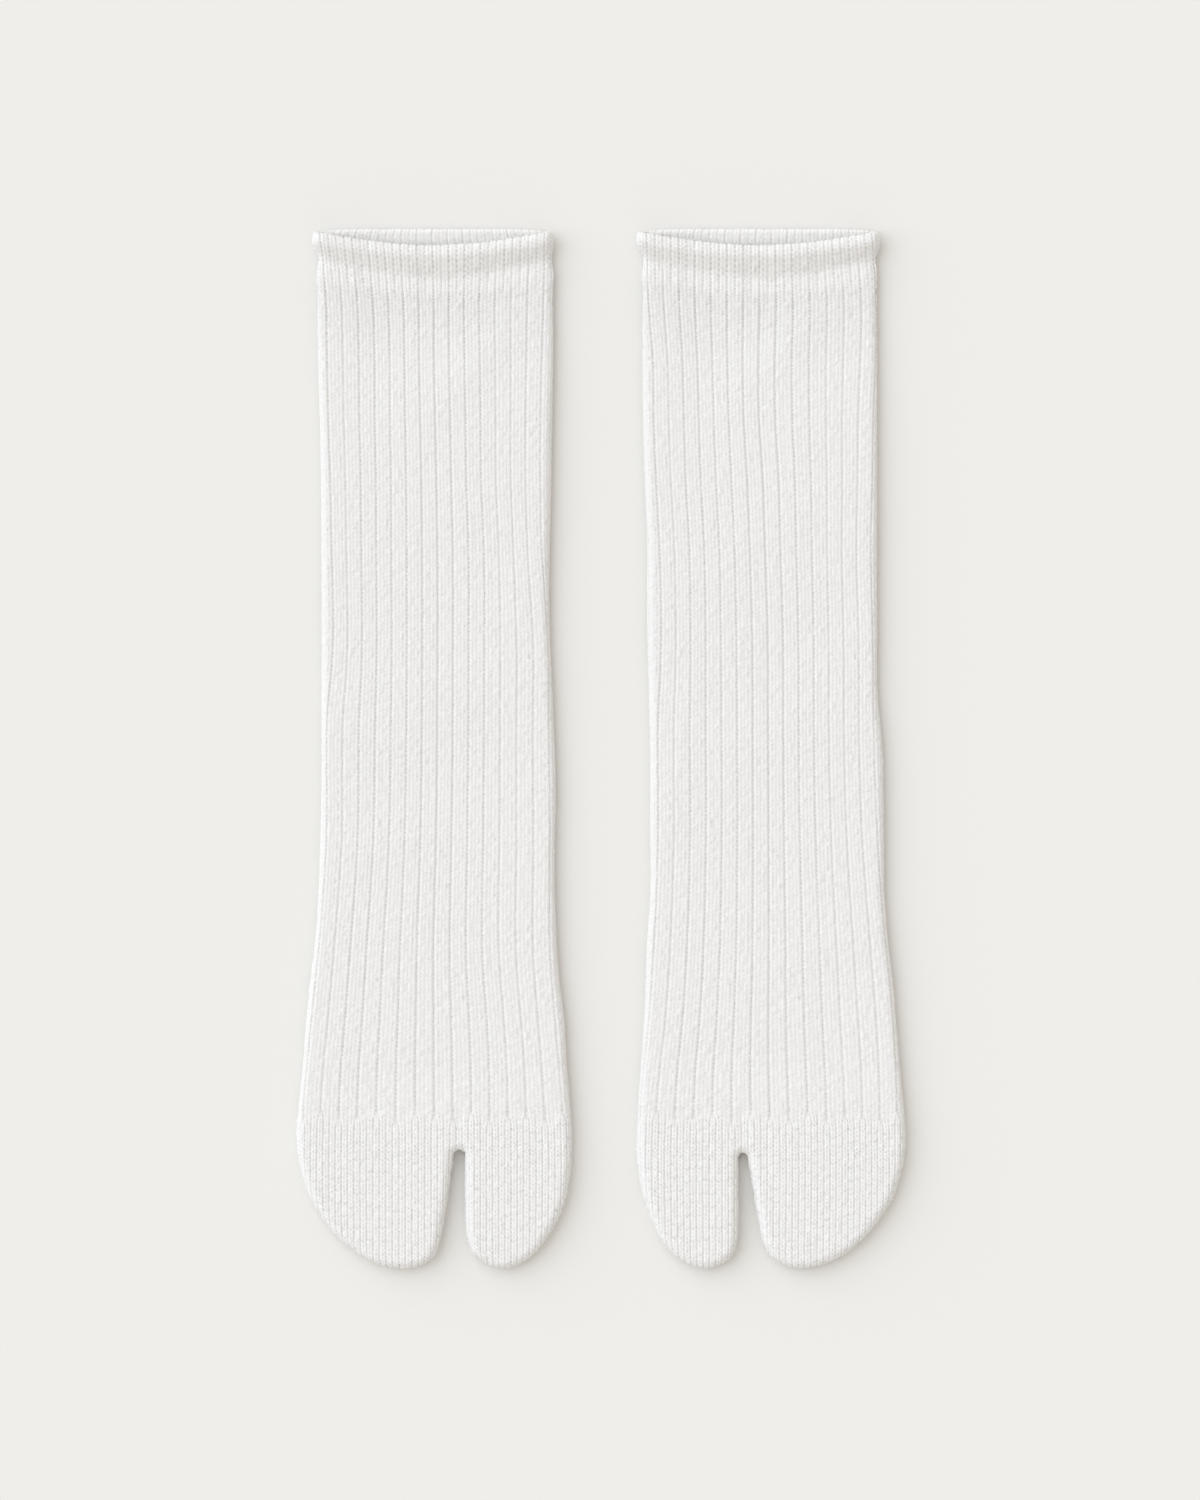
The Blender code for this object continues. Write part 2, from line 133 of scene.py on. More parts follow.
# %% The plan of one sock: its edges, and how far a point lies from them
class Plan:
    """Outline of one sock, seen from above with its toes at the bottom."""

    def __init__(self, sides, toes, slit_end):
        self.sides = table(SIDE_COLUMNS, sides)
        self.toes = table(TOE_COLUMNS, toes)
        self.slit_end = slit_end
        lowest = self.toes["up"][-1]
        self.slit_middle = (self.slit("slit_left", lowest) + self.slit("slit_right", lowest)) / 2
        self.outline = self.trace()

    def side(self, name, up):
        """Outer edge on one side."""
        levels = np.concatenate((self.toes["up"], self.sides["up"]))
        edges = np.concatenate((self.toes[name], self.sides[name]))
        return smooth(np.sqrt(up), np.sqrt(levels), edges)

    def slit(self, name, up):
        """Edge of the slit below its round end."""
        return smooth(np.sqrt(up), np.sqrt(self.toes["up"]), self.toes[name])

    def slit_edge(self, name, up):
        """Edge of the slit with its round end."""
        start = self.slit_end - SLIT_ROUND
        edge = self.slit(name, np.minimum(up, start))
        share = np.clip((up - start) / SLIT_ROUND, 0, 1)
        return self.slit_middle + (edge - self.slit_middle) * np.sqrt(1 - share**2)

    def trace(self):
        """The outline round the foot and the toes as short straight lines."""
        leg = np.arange(2 * self.slit_end, self.slit_end, -LEG_STEP)
        pocket = self.slit_end * (1 + np.cos(np.linspace(0, np.pi, POCKET_POINTS))) / 2
        turn = pocket[::-1]
        lines = (
            (self.side("left", leg), leg),
            (self.side("left", pocket), pocket),
            (self.slit_edge("slit_left", turn), turn),
            (self.slit_edge("slit_right", pocket), pocket),
            (self.side("right", turn), turn),
            (self.side("right", leg[::-1]), leg[::-1]),
        )
        return np.concatenate([np.column_stack(line) for line in lines])

    def nearest(self, x, y, within):
        """Distance of the points of one row from the outline, and the way out of the sock.

        Only the stretch of outline within reach of the row is looked at."""
        start, end = self.outline[:-1], self.outline[1:]
        run = end - start
        long_enough = np.hypot(run[:, 0], run[:, 1]) > SHORTEST
        near = long_enough & (np.abs(start[:, 1] - y) < within)
        start, run = start[near], run[near]
        square = (run**2).sum(1)
        to_x, to_y = x[:, None] - start[:, 0], y - start[:, 1]
        share = np.clip((to_x * run[:, 0] + to_y * run[:, 1]) / square, 0, 1)
        away_x, away_y = share * run[:, 0] - to_x, share * run[:, 1] - to_y
        distance = np.hypot(away_x, away_y)
        pick = distance.argmin(1)
        each = np.arange(len(x))
        distance = distance[each, pick]
        # on the outline itself the way out is square to its line, which runs anticlockwise,
        # and everywhere else it leads to the nearest point of the outline
        along = run[pick] / np.sqrt(square[pick])[:, None]
        square_out = np.column_stack((along[:, 1], -along[:, 0]))
        out = np.column_stack((away_x[each, pick], away_y[each, pick]))
        far = distance > ON_EDGE
        out[far] /= distance[far, None]
        out[~far] = square_out[~far]
        return distance, out


SOCKS = {
    "right_foot": Plan(RIGHT_FOOT_SIDES, RIGHT_FOOT_TOES, RIGHT_FOOT_SLIT_END),
    "left_foot": Plan(LEFT_FOOT_SIDES, LEFT_FOOT_TOES, LEFT_FOOT_SLIT_END),
}
low = np.array(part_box("sock_right_foot")[0]) / MM
SHIFT = np.array((low[0] - SOCKS["right_foot"].outline[:, 0].min(), low[1], 0.0))
print("the tables start", SHIFT.round(2), "mm from the frame's middle")

# %% [markdown]
# ## Where the stitch columns run
# A column of stitches is called a wale. Wales run down the sock, wave gently where the
# tube was pulled flat, and spread over the wider foot. A few guide grooves per sock are
# enough: the table gives their place across the sock, level by level, and every other
# column follows from a smooth curve through them. Groove 0 is the one nearest the middle,
# and a groove's number also counts the ribs between it and the middle one.

# %% Guide grooves, in millimetres
GUIDES = (-7, -4, 0, 4, 6)
GUIDE_COLUMNS = ("up", *GUIDES)
RIGHT_FOOT_GUIDES = (
    (388.4, -105.0, -87.0, -62.8, -38.8, -26.8),
    (363.0, -102.8, -85.1, -62.4, -39.6, -27.4),
    (341.0, -102.3, -84.5, -62.3, -39.3, -27.7),
    (318.0, -101.8, -84.4, -61.8, -39.2, -28.0),
    (296.0, -101.1, -84.0, -61.4, -39.1, -28.0),
    (273.0, -100.6, -83.9, -61.0, -38.1, -27.4),
    (228.0, -100.3, -83.7, -60.9, -37.4, -25.0),
    (206.0, -102.3, -84.2, -61.0, -37.5, -25.2),
    (161.0, -102.6, -84.9, -61.5, -37.7, -25.0),
    (116.0, -106.0, -87.7, -62.5, -37.8, -25.0),
    (93.0, -108.3, -89.1, -62.4, -36.0, -23.3),
    (71.0, -110.6, -90.6, -62.3, -34.8, -21.6),
    (60.0, -111.4, -90.9, -62.2, -34.7, -21.0),
    (0.0, -111.6, -91.0, -62.2, -34.6, -20.8),
)
LEFT_FOOT_GUIDES = (
    (388.4, 17.2, 35.2, 59.3, 83.4, 95.4),
    (363.0, 17.8, 35.4, 59.5, 84.8, 97.6),
    (341.0, 19.6, 36.3, 59.1, 84.5, 97.3),
    (318.0, 20.0, 36.9, 59.4, 84.4, 96.4),
    (296.0, 20.8, 37.5, 60.7, 84.7, 96.2),
    (273.0, 22.0, 38.7, 61.5, 84.8, 95.8),
    (228.0, 22.6, 39.4, 62.7, 85.5, 96.7),
    (206.0, 21.6, 39.4, 62.7, 85.5, 96.7),
    (161.0, 21.5, 39.5, 62.9, 86.4, 98.0),
    (116.0, 19.6, 38.4, 63.0, 88.6, 101.4),
    (93.0, 17.8, 37.1, 62.8, 89.8, 103.2),
    (71.0, 15.1, 35.3, 63.0, 91.0, 104.3),
    (60.0, 14.0, 34.9, 63.3, 91.3, 104.5),
    (0.0, 13.8, 34.8, 63.3, 91.3, 104.6),
)
GUIDE_TABLES = {
    "right_foot": table(GUIDE_COLUMNS, RIGHT_FOOT_GUIDES),
    "left_foot": table(GUIDE_COLUMNS, LEFT_FOOT_GUIDES),
}
GUIDE_REACH = 11.0              # their spacing is carried on to this many ribs each way


def wale_places(foot, up, wales):
    """Place across the sock of each wale, one row for each level; wales are in ribs."""
    guides = GUIDE_TABLES[foot]
    places = [smooth(up, guides["up"], guides[number]) for number in GUIDES]
    first, last = places[1] - places[0], places[-1] - places[-2]
    left_step = first / (GUIDES[1] - GUIDES[0])
    right_step = last / (GUIDES[-1] - GUIDES[-2])
    left = places[0] - left_step * (GUIDES[0] + GUIDE_REACH)
    right = places[-1] + right_step * (GUIDE_REACH - GUIDES[-1])
    numbers = np.array((-GUIDE_REACH, *GUIDES, GUIDE_REACH), float)
    lines = np.array((left, *places, right))
    return np.array([smooth(wales, numbers, lines[:, row]) for row in range(lines.shape[1])])


# %% [markdown]
# ## The knit
# The whole surface is one height function of two numbers: how many ribs across, and how
# many courses (rows of stitches) down. A knit wale is a chain of Vs, and each leg of a V
# is a small slanted grain of yarn. Between two broad ribs a wale lies back to front: only
# its short cross bars show, deep in a groove. The same function makes the other two
# knits. In the fine rib of the cuff a second wale lies hidden, in the middle of each broad
# rib. In the plain knit of the toes the hidden wale comes forward until all three are
# alike.

# %% Sizes of the knit
COURSE = 1.6                    # height of one row of stitches
ROWS_PER_COURSE = 3             # rows of mesh points for each
HIDDEN_WALE = 0.045             # half the width of a wale that lies in a groove, in ribs
OPEN_WALE = 1 / 6               # and of one that has come forward
SLIM_WALE = HIDDEN_WALE / 9     # a hidden wale is never taken to be slimmer than this
PLAIN_RISE = 0.46               # how far a leg of a V stands out in plain knit
RIB_RISE = 0.28                 # in the ribs, which are stretched flat
CUFF_RISE = 0.36                # and in the cuff
PLAIN_RIDGE = 0.10              # share of that height which runs on from stitch to stitch
RIB_RIDGE = 0.4                 # and the same in the ribs
GRAIN_LENGTH = 0.72             # half the length of a leg, in courses
GRAIN_WIDTH = 0.48              # half its width, in halves of a wale
GRAIN_SLANT = 0.55              # how far it leans, in halves of a wale for each course
GRAIN_TILT = 0.2                # how much higher its lower end stands out
BAR_RISE = 0.30                 # how far the cross bars in a groove stand out
BAR_REACH = 0.4                 # half the height of a bar, in courses
GROOVE_DEPTH = 0.33             # depth of a groove between broad ribs
GROOVE_REACH = 0.055            # and half its width, in ribs
FINE_DEPTH = 0.30               # depth of a groove between fine ribs
FINE_REACH = 0.06               # and half its width, in ribs
WALE_GAP = 0.24                 # how much deeper the gap between two plain wales is
WALE_GAP_REACH = 0.22           # half the width of that gap, in halves of a wale
RIB_SUNK = 0.3                  # how much lower the broad ribs lie than the plain knit; this also darkens them with painted shade


def step(value, start, end):
    """Eased change from 0 at start to 1 at end."""
    t = np.clip((value - start) / (end - start), 0, 1)
    return t * t * (3 - 2 * t)


def leg_grain(across, down, ridge):
    """Height of a leg of a V, about 0 to 1; across is 0 in the V's middle, 1 at its edge."""
    height = ridge * np.sqrt(np.clip(1 - (2 * across - 1) ** 4, 0, 1))
    for neighbour in (-1, 0, 1):
        along = down - 0.5 - neighbour
        aside = across - 0.5 - GRAIN_SLANT * along
        round_part = 1 - (along / GRAIN_LENGTH) ** 2 - (aside / GRAIN_WIDTH) ** 2
        height = np.maximum(height, np.sqrt(np.clip(round_part, 0, 1)) * (1 + GRAIN_TILT * along))
    return height


def knit(wale, course, broad, fine):
    """Height of the cloth over its smooth form: about 0 on top of a leg, negative below.

    wale counts ribs across and course counts rows down. broad and fine are the shares of
    the broad rib and of the cuff's fine rib; what is left is plain knit."""
    part = wale - np.floor(wale)
    from_groove = np.minimum(part, 1 - part)
    down = course - np.floor(course)
    plain = 1 - broad - fine
    half = HIDDEN_WALE + (OPEN_WALE - HIDDEN_WALE) * plain
    middle_half = HIDDEN_WALE * fine
    from_middle = 0.5 - from_groove
    across_front = np.abs(2 * (from_groove - half) / (0.5 - half - middle_half) - 1)
    across = np.where(from_groove < half, from_groove / half, np.minimum(across_front, 1))
    in_middle = from_middle < middle_half
    across = np.where(in_middle, from_middle / np.maximum(middle_half, SLIM_WALE), across)
    rise = RIB_RISE * broad + CUFF_RISE * fine + PLAIN_RISE * plain
    ridge = RIB_RIDGE * broad + PLAIN_RIDGE * (1 - broad)
    legs = rise * (leg_grain(across, down, ridge) - 1)
    bars = BAR_RISE * (np.sqrt(np.clip(1 - ((down - 0.5) / BAR_REACH) ** 2, 0, 1)) - 1)
    hidden = np.where(from_groove < half, 1 - plain, 0)
    hidden = np.where(in_middle, fine, hidden)
    stitches = legs * (1 - hidden) + bars * hidden
    from_fine = np.minimum(from_groove, from_middle)
    depth = GROOVE_DEPTH * broad * np.exp(-((from_groove / GROOVE_REACH) ** 2))
    depth = depth + FINE_DEPTH * fine * np.exp(-((from_fine / FINE_REACH) ** 2))
    between = np.exp(-(((1 - across) / WALE_GAP_REACH) ** 2)) * plain
    return stitches - depth - WALE_GAP * between - RIB_SUNK * broad


# %% [markdown]
# ## The form of the tube
# Laid flat, the tube has a front panel that lies on its back panel, with a soft fold at
# each side. Its section is two straight lines and four quarters of ellipses. The cuff
# rolls outward and stands open, its front edge hangs lower than its back edge, and a
# crease under the roll presses the front panel in. The table says how much, level by
# level: how far the front edge dips and the back edge rises, the gap between the panels,
# the dent of the crease, and how far the back edge curls up off the table.

# %% Sections of the tube, in millimetres
WALL = 2.5                      # thickness of the cloth
UPPER_FOLD = 3.4                # width over which the front panel rounds down to a side fold
LOWER_FOLD = 4.5                # width over which the back panel rounds up to it
USUAL_HALF = 3.3                # half the height of the tube, for measuring round a fold
FOLD_POINTS = 200               # points in which a fold's curve is measured
FORM_COLUMNS = ("up", "dip", "rise", "gap", "dent", "curl")
FORM = (
    (388.4, 5.1, 1.2, 3.4, 0.0, 0.9), (386.8, 5.1, 1.0, 4.0, 0.0, 0.8),
    (385.4, 5.3, 0.8, 4.2, 0.0, 0.7), (384.0, 5.6, 0.6, 3.9, 0.0, 0.6),
    (382.4, 5.9, 0.4, 3.0, 0.2, 0.4), (380.6, 6.4, 0.3, 2.0, 0.6, 0.2),
    (379.0, 6.8, 0.2, 1.4, 1.2, 0.1), (377.8, 6.9, 0.1, 1.2, 1.5, 0.0),
    (376.0, 6.8, 0.0, 1.2, 1.4, 0.0), (371.0, 5.9, 0.0, 1.25, 1.15, 0.0),
    (366.0, 4.8, 0.0, 1.3, 1.1, 0.0), (355.0, 3.0, 0.0, 1.4, 1.05, 0.0),
    (342.0, 1.6, 0.0, 1.4, 0.8, 0.0), (328.0, 0.8, 0.0, 1.4, 0.35, 0.0),
    (302.0, 0.0, 0.0, 1.4, 0.0, 0.0), (243.0, 0.0, 0.0, 1.4, 0.0, 0.0),
    (186.0, 0.0, 0.0, 1.4, 0.0, 0.0), (143.0, 0.0, 0.0, 1.6, 0.0, 0.0),
    (108.0, 0.0, 0.0, 1.8, 0.0, 0.0), (78.0, 0.0, 0.0, 2.0, 0.0, 0.0),
    (58.0, 0.0, 0.0, 2.4, 0.0, 0.0), (40.0, 0.0, 0.0, 2.6, 0.0, 0.0),
    (0.0, 0.0, 0.0, 2.6, 0.0, 0.0),
)
form = table(FORM_COLUMNS, FORM)


def at(name, up):
    """Value of one of the form's columns at any level."""
    return smooth(up, form["up"], form[name])


def fold_table(reach):
    """Angles round a quarter of an ellipse, and the way along it from the sock's edge."""
    angle = np.linspace(0, np.pi / 2, FOLD_POINTS)
    x, z = reach * (1 - np.cos(angle)), USUAL_HALF * np.sin(angle)
    way = np.concatenate(([0], np.cumsum(np.hypot(np.diff(x), np.diff(z)))))
    return angle, way


UPPER_ANGLE, UPPER_WAY = fold_table(UPPER_FOLD)
LOWER_ANGLE, LOWER_WAY = fold_table(LOWER_FOLD)
SPARE = UPPER_WAY[-1] - UPPER_FOLD      # cloth that the rounding takes up
print("a fold takes up", SPARE.round(2), "mm of cloth")


def round_fold(way):
    """Distance from the sock's edge, and the sine of the angle, for a way round the fold.

    The way is 0 on the edge, grows over the front panel, and is negative under the sock."""
    upper = np.interp(way, UPPER_WAY, UPPER_ANGLE)
    lower = np.interp(-way, LOWER_WAY, LOWER_ANGLE)
    front = way >= 0
    angle = np.where(front, upper, -lower)
    inset = np.where(front, UPPER_FOLD, LOWER_FOLD) * (1 - np.cos(angle))
    beyond = np.where(front, way - UPPER_WAY[-1], -way - LOWER_WAY[-1])
    return inset + np.maximum(beyond, 0), np.sin(angle)


def under_way(place, left, right, share):
    """Ways round the fold for points under the sock, by their share from right to left.

    They fill what the columns on the front panel, at the given places, leave of the tube."""
    whole = 2 * (LOWER_WAY[-1] - LOWER_FOLD) + right - left
    start = place[:, -1:] - (right + SPARE)
    end = (left - SPARE) - place[:, :1]
    round_it = start + (whole - end - start) * share
    on_right = round_it < whole / 2
    return on_right, -np.where(on_right, round_it, whole - round_it)


# %% [markdown]
# ## Rows and columns of the tube
# The mesh follows the stitches: its columns run down the wales, closest where a groove is
# deepest, and three rows go to each course. One row goes all round the tube. The rows start
# inside the mouth, turn over the rim and run down the outside. Under the leg and the foot,
# where the sock lies on the table, two columns a rib are enough.

# %% Columns in ribs, rows in millimetres along the cloth from the rim's top
# places of the columns from a groove to the middle of its rib, and where the fine rib moves
# them to
HALF_RIB = (0.0, 0.045, 0.0905, 0.227, 0.2725, 0.318, 0.4545, 0.5)
HALF_RIB_FINE = (0.0, 0.02, 0.09, 0.19, 0.25, 0.31, 0.41, 0.5)
COLUMNS_IN_RIB = (*HALF_RIB, *(1 - place for place in HALF_RIB[-2:0:-1]))
UNDER_COLUMNS = (0.0, 0.5)      # the coarse columns of an underside
FRONT_REACH = 8.75              # the fine columns reach this many ribs to each side
RIBS_ROUND = 32                 # all round the tube
RIM_RADIUS = WALL / 2
ROLL = math.pi * RIM_RADIUS     # way over the rim
ROW = COURSE / ROWS_PER_COURSE  # way from one row of points to the next
PIECE_ENDS = (23.0, 203.0, 328.0)       # ways at which the cuff, the leg and the foot end
INSIDE_ROWS = 12                # rows inside the mouth that lie as close as outside
INSIDE_STEPS = (1.0, 2.0, 3.0, 4.0)     # and the wider steps further in


def columns(places, start, end):
    """Wales between start and end, at the given places within each rib."""
    ribs = np.arange(math.floor(start), math.ceil(end))
    wales = (ribs[:, None] + np.array(places)).ravel()
    return wales[(wales > start) & (wales < end)]


def level_of(way):
    """Level above the toe tips, and how far in through the wall, for a way along the cloth."""
    turn = np.clip(way / RIM_RADIUS, -math.pi / 2, math.pi / 2)
    beyond = np.abs(way) - ROLL / 2
    level = RIM_LEVEL - RIM_RADIUS + RIM_RADIUS * np.cos(turn) - np.maximum(beyond, 0)
    return level, RIM_RADIUS * (1 - np.sin(turn))


CUFF_END, LEG_END, FOOT_END = (round(way / COURSE) * COURSE for way in PIECE_ENDS)
TOE_START = level_of(FOOT_END)[0]
inside_steps = np.concatenate((np.full(INSIDE_ROWS, ROW), INSIDE_STEPS))
inside_rows = -ROLL / 2 - np.cumsum(inside_steps)[::-1]
tube_ways = np.concatenate((inside_rows, np.arange(-ROLL / 2, FOOT_END + ROW / 2, ROW)))
print(len(tube_ways), "rows down the tube, toes from", TOE_START.round(1), "mm")

# %% [markdown]
# ## Uneven cloth
# A sock that has been laid down by hand isn't flat. Long, shallow swells and hollows cross
# the front panel, a short trough runs above the slit between the toes, and no two stitches
# stand out quite alike. The swells are placed one by one; the stitches get their
# differences from seeded tables, so they come out the same each time.

# %% Swells and hollows, and the unevenness of the stitches
# each row: the middle's x and its level, the direction in degrees, the reach along it and
# across it, and the height
SWELLS = {
    "right_foot": (
        (-46.0, 339.0, 47.0, 28.0, 8.0, 0.55),
        (-82.0, 346.0, 70.0, 26.0, 12.0, -0.45),
        (-66.0, 285.0, -20.0, 30.0, 12.0, 0.25),
        (-58.0, 215.0, 5.0, 27.0, 12.0, 0.45),
        (-62.0, 183.0, 3.0, 42.0, 14.0, -0.40),
        (-83.0, 157.0, 12.0, 20.0, 10.0, 0.30),
        (-40.0, 140.0, -25.0, 26.0, 11.0, 0.25),
        (-73.0, 71.0, 4.0, 30.0, 10.0, -0.50),
        (-30.0, 250.0, 75.0, 26.0, 7.0, 0.25),
        (-53.2, 53.0, 88.0, 7.0, 1.8, -0.45),
    ),
    "left_foot": (
        (73.0, 348.0, 42.0, 24.0, 8.0, 0.55),
        (40.0, 339.0, 80.0, 30.0, 13.0, -0.40),
        (45.0, 262.0, 30.0, 30.0, 12.0, 0.25),
        (80.0, 240.0, 40.0, 30.0, 10.0, -0.30),
        (62.0, 196.0, 15.0, 34.0, 14.0, 0.35),
        (50.0, 150.0, -15.0, 28.0, 11.0, -0.30),
        (76.0, 118.0, 20.0, 26.0, 10.0, 0.30),
        (66.0, 78.0, -6.0, 30.0, 9.0, -0.45),
        (30.0, 190.0, 80.0, 36.0, 6.0, 0.20),
        (53.4, 52.0, 92.0, 7.0, 1.8, -0.45),
    ),
}
UNEVEN = 0.05                   # how much the height of one stitch differs from the next
OUT_OF_STEP = 0.16              # and how far its wale has slid along, in courses
LEGS_IN_RIB = 6                 # the legs of the Vs in a rib and the hidden wale beside it
TABLE_SIZE = 256                # stitches down and across before the differences repeat
seeded = np.random.default_rng(7)
stitch_table = seeded.normal(0.0, UNEVEN, (TABLE_SIZE, TABLE_SIZE))
slide_table = seeded.normal(0.0, OUT_OF_STEP, TABLE_SIZE)


def swell(foot, x, up):
    """Height of the swells at points of the front panel."""
    height = np.zeros(np.broadcast(x, up).shape)
    for middle_x, middle_up, turn, length, width, rise in SWELLS[foot]:
        along = np.array((math.cos(math.radians(turn)), math.sin(math.radians(turn))))
        to_x, to_up = x - middle_x, up - middle_up
        far = (to_x * along[0] + to_up * along[1]) / length
        aside = (to_up * along[0] - to_x * along[1]) / width
        height += rise * np.exp(-far**2 - aside**2)
    return height


def leg_number(wale, plain):
    """Number of the leg of a V at each place; its V's number is half of that, rounded up."""
    part = wale - np.floor(wale)
    from_groove = np.minimum(part, 1 - part)
    half = HIDDEN_WALE + (OPEN_WALE - HIDDEN_WALE) * plain
    leg = (from_groove >= half).astype(int) + (from_groove >= (half + 0.5) / 2)
    leg = np.where(part > 0.5, LEGS_IN_RIB - 1 - leg, leg)
    return leg + LEGS_IN_RIB * np.floor(wale).astype(int)


def worn_knit(wale, course, broad, fine):
    """The knit with its small differences from one stitch to the next."""
    leg = leg_number(wale, 1 - broad - fine)
    course = course + slide_table[(leg + 1) // 2 % TABLE_SIZE]
    row = np.floor(course).astype(int)
    uneven = stitch_table[row % TABLE_SIZE, leg % TABLE_SIZE]
    return knit(wale, course, broad, fine) + uneven


# %% Points of the tube
BROAD_FROM = (374.0, 366.0)     # levels between which the fine rib turns into the broad one
BROAD_TO = (53.5, 58.5)         # and between which the plain knit of the toes takes over
FINE_ABOVE = 200.0              # the fine rib is only at the cuff
RAGGED = 1.6                    # how much higher or lower one groove ends than the next
RAGGED_TURN = 2.4               # angle of a sine from one groove to the next
TIGHT_FROM = (338.0, 374.0)     # towards the cuff the knit is tighter,
TIGHTER = 0.4                   # and its relief deeper by this share
DIP_SHAPE = 1.25                # the front edge of the mouth hangs as a curve of this power
RISE_SHAPE = 8                  # and the back edge is straight but for its ends
LYING_BELOW = -0.95             # from this lift down the cloth belongs to the back panel
INSIDE_RELIEF = 0.65            # the knit is shallower on the inside of the back panel
UNDER_RELIEF = 0.6              # and where the sock lies on the table
WALE_TABLE = np.linspace(-GUIDE_REACH, GUIDE_REACH, 221)    # wales whose place is worked out


def broad_share(level, wale):
    """Share of the broad rib near the toes; each groove ends at its own level."""
    return step(level + RAGGED * np.sin(RAGGED_TURN * np.round(wale)), *BROAD_TO)


def fine_columns(wales, fine):
    """Columns placed for the broad rib, moved to where the fine rib's stitches lie."""
    rib = np.round(wales)
    part = np.abs(wales - rib)
    moved = np.interp(part, HALF_RIB, HALF_RIB_FINE)
    return rib + np.sign(wales - rib) * (part + (moved - part) * fine)


def tube(foot, ways, under_places):
    """Points of the tube's smooth form, the height of the knit there, and the stitch numbers.

    Each comes as a grid: a row for each way along the cloth, a column for each wale."""
    plan = SOCKS[foot]
    ways = np.array(ways)
    level, inset = (values[:, None] for values in level_of(ways))
    left, right = plan.side("left", level), plan.side("right", level)
    broad = np.where(inset > RIM_RADIUS, 0, step(level, *BROAD_FROM))
    fine = np.where(level > FINE_ABOVE, 1 - broad, 0)
    front_wales = fine_columns(columns(COLUMNS_IN_RIB, -FRONT_REACH, FRONT_REACH), fine)
    under_wales = columns(under_places, FRONT_REACH, RIBS_ROUND - FRONT_REACH)
    if under_places is COLUMNS_IN_RIB:
        under_wales = fine_columns(under_wales, fine)
    else:
        under_wales = np.broadcast_to(under_wales, (len(ways), len(under_wales)))
    table_rows = wale_places(foot, level[:, 0], WALE_TABLE)
    place = np.array([
        np.interp(wales, WALE_TABLE, row) for wales, row in zip(front_wales, table_rows)
    ])
    on_left = place < (left + right) / 2
    way = np.where(on_left, place - left + SPARE, right + SPARE - place)
    spread = RIBS_ROUND - 2 * FRONT_REACH
    on_right, below = under_way(place, left, right, (under_wales - FRONT_REACH) / spread)
    way = np.concatenate((way, below), axis=1)
    on_left = np.concatenate((on_left, ~on_right), axis=1)
    from_edge, lift = round_fold(way)
    reach = np.where(way >= 0, UPPER_FOLD, LOWER_FOLD)
    from_edge = from_edge + inset * np.maximum(1 - from_edge / reach, 0)
    x = np.where(on_left, left + from_edge, right - from_edge)
    across = 2 * (x - left) / (right - left) - 1
    dip, rise = at("dip", level), at("rise", level)
    middle_share = np.clip(1 - across**2, 0, 1)
    hang = -dip * middle_share**DIP_SHAPE
    y = level + np.where(lift > 0, hang, rise * (1 - across**RISE_SHAPE))
    middle = WALL + at("gap", level) / 2
    pressed = at("dent", level) * (1 - inset / WALL) * (lift > 0)
    z = middle + lift * (middle - inset - pressed) + at("curl", level) * np.maximum(-lift, 0)
    z = z + swell(foot, x, y) * np.maximum(lift, 0) ** 2
    points = np.stack((x, y, z), axis=2)
    wale = np.concatenate((front_wales, under_wales), axis=1)
    course = np.broadcast_to(ways[:, None] / COURSE, x.shape)
    height = worn_knit(wale, course, broad, fine) * (1 + TIGHTER * step(level, *TIGHT_FROM))
    lying = np.where(inset > RIM_RADIUS, INSIDE_RELIEF, UNDER_RELIEF)
    height = height * np.where(lift > LYING_BELOW, 1, lying)
    return points, height, wale, course


def push(points, height):
    """Points moved along the smooth form's normals by the height of the knit."""
    down = np.gradient(points, axis=0)
    along = np.roll(points, -1, axis=1) - np.roll(points, 1, axis=1)
    normal = np.cross(down, along)
    normal /= np.linalg.norm(normal, axis=2)[:, :, None]
    moved = points + normal * height[:, :, None]
    moved[:, :, 2] = np.maximum(moved[:, :, 2], 0)
    return moved


# %% [markdown]
# ## From a grid to a mesh
# A grid of points becomes a mesh of four-sided faces. Two maps go on it: "OFBake" spreads
# the piece once over a square, as a place for baked pictures, and "Stitch" holds the
# stitch numbers, for a finish that follows the knit. Each point also gets a number, from 0
# on top of a stitch to 1 deep between two, that darkens the yarn's colour: painted shade.

# %% Mesh of one piece
DEEPEST = 1.0                   # depth of the knit at which the painted shade is full
WHOLE = (0.0, 0.0, 1.0, 1.0)    # box of a grid that fills the map


def grid_faces(rows, count, closed):
    """Corner numbers of a grid's faces, and the row and column of each corner."""
    across = count if closed else count - 1
    row, column = np.meshgrid(np.arange(rows - 1), np.arange(across), indexing="ij")
    rows_of = np.stack((row, row + 1, row + 1, row), axis=2).reshape(-1, 4)
    columns_of = np.stack((column, column, column + 1, column + 1), axis=2).reshape(-1, 4)
    return rows_of * count + columns_of % count, rows_of, columns_of


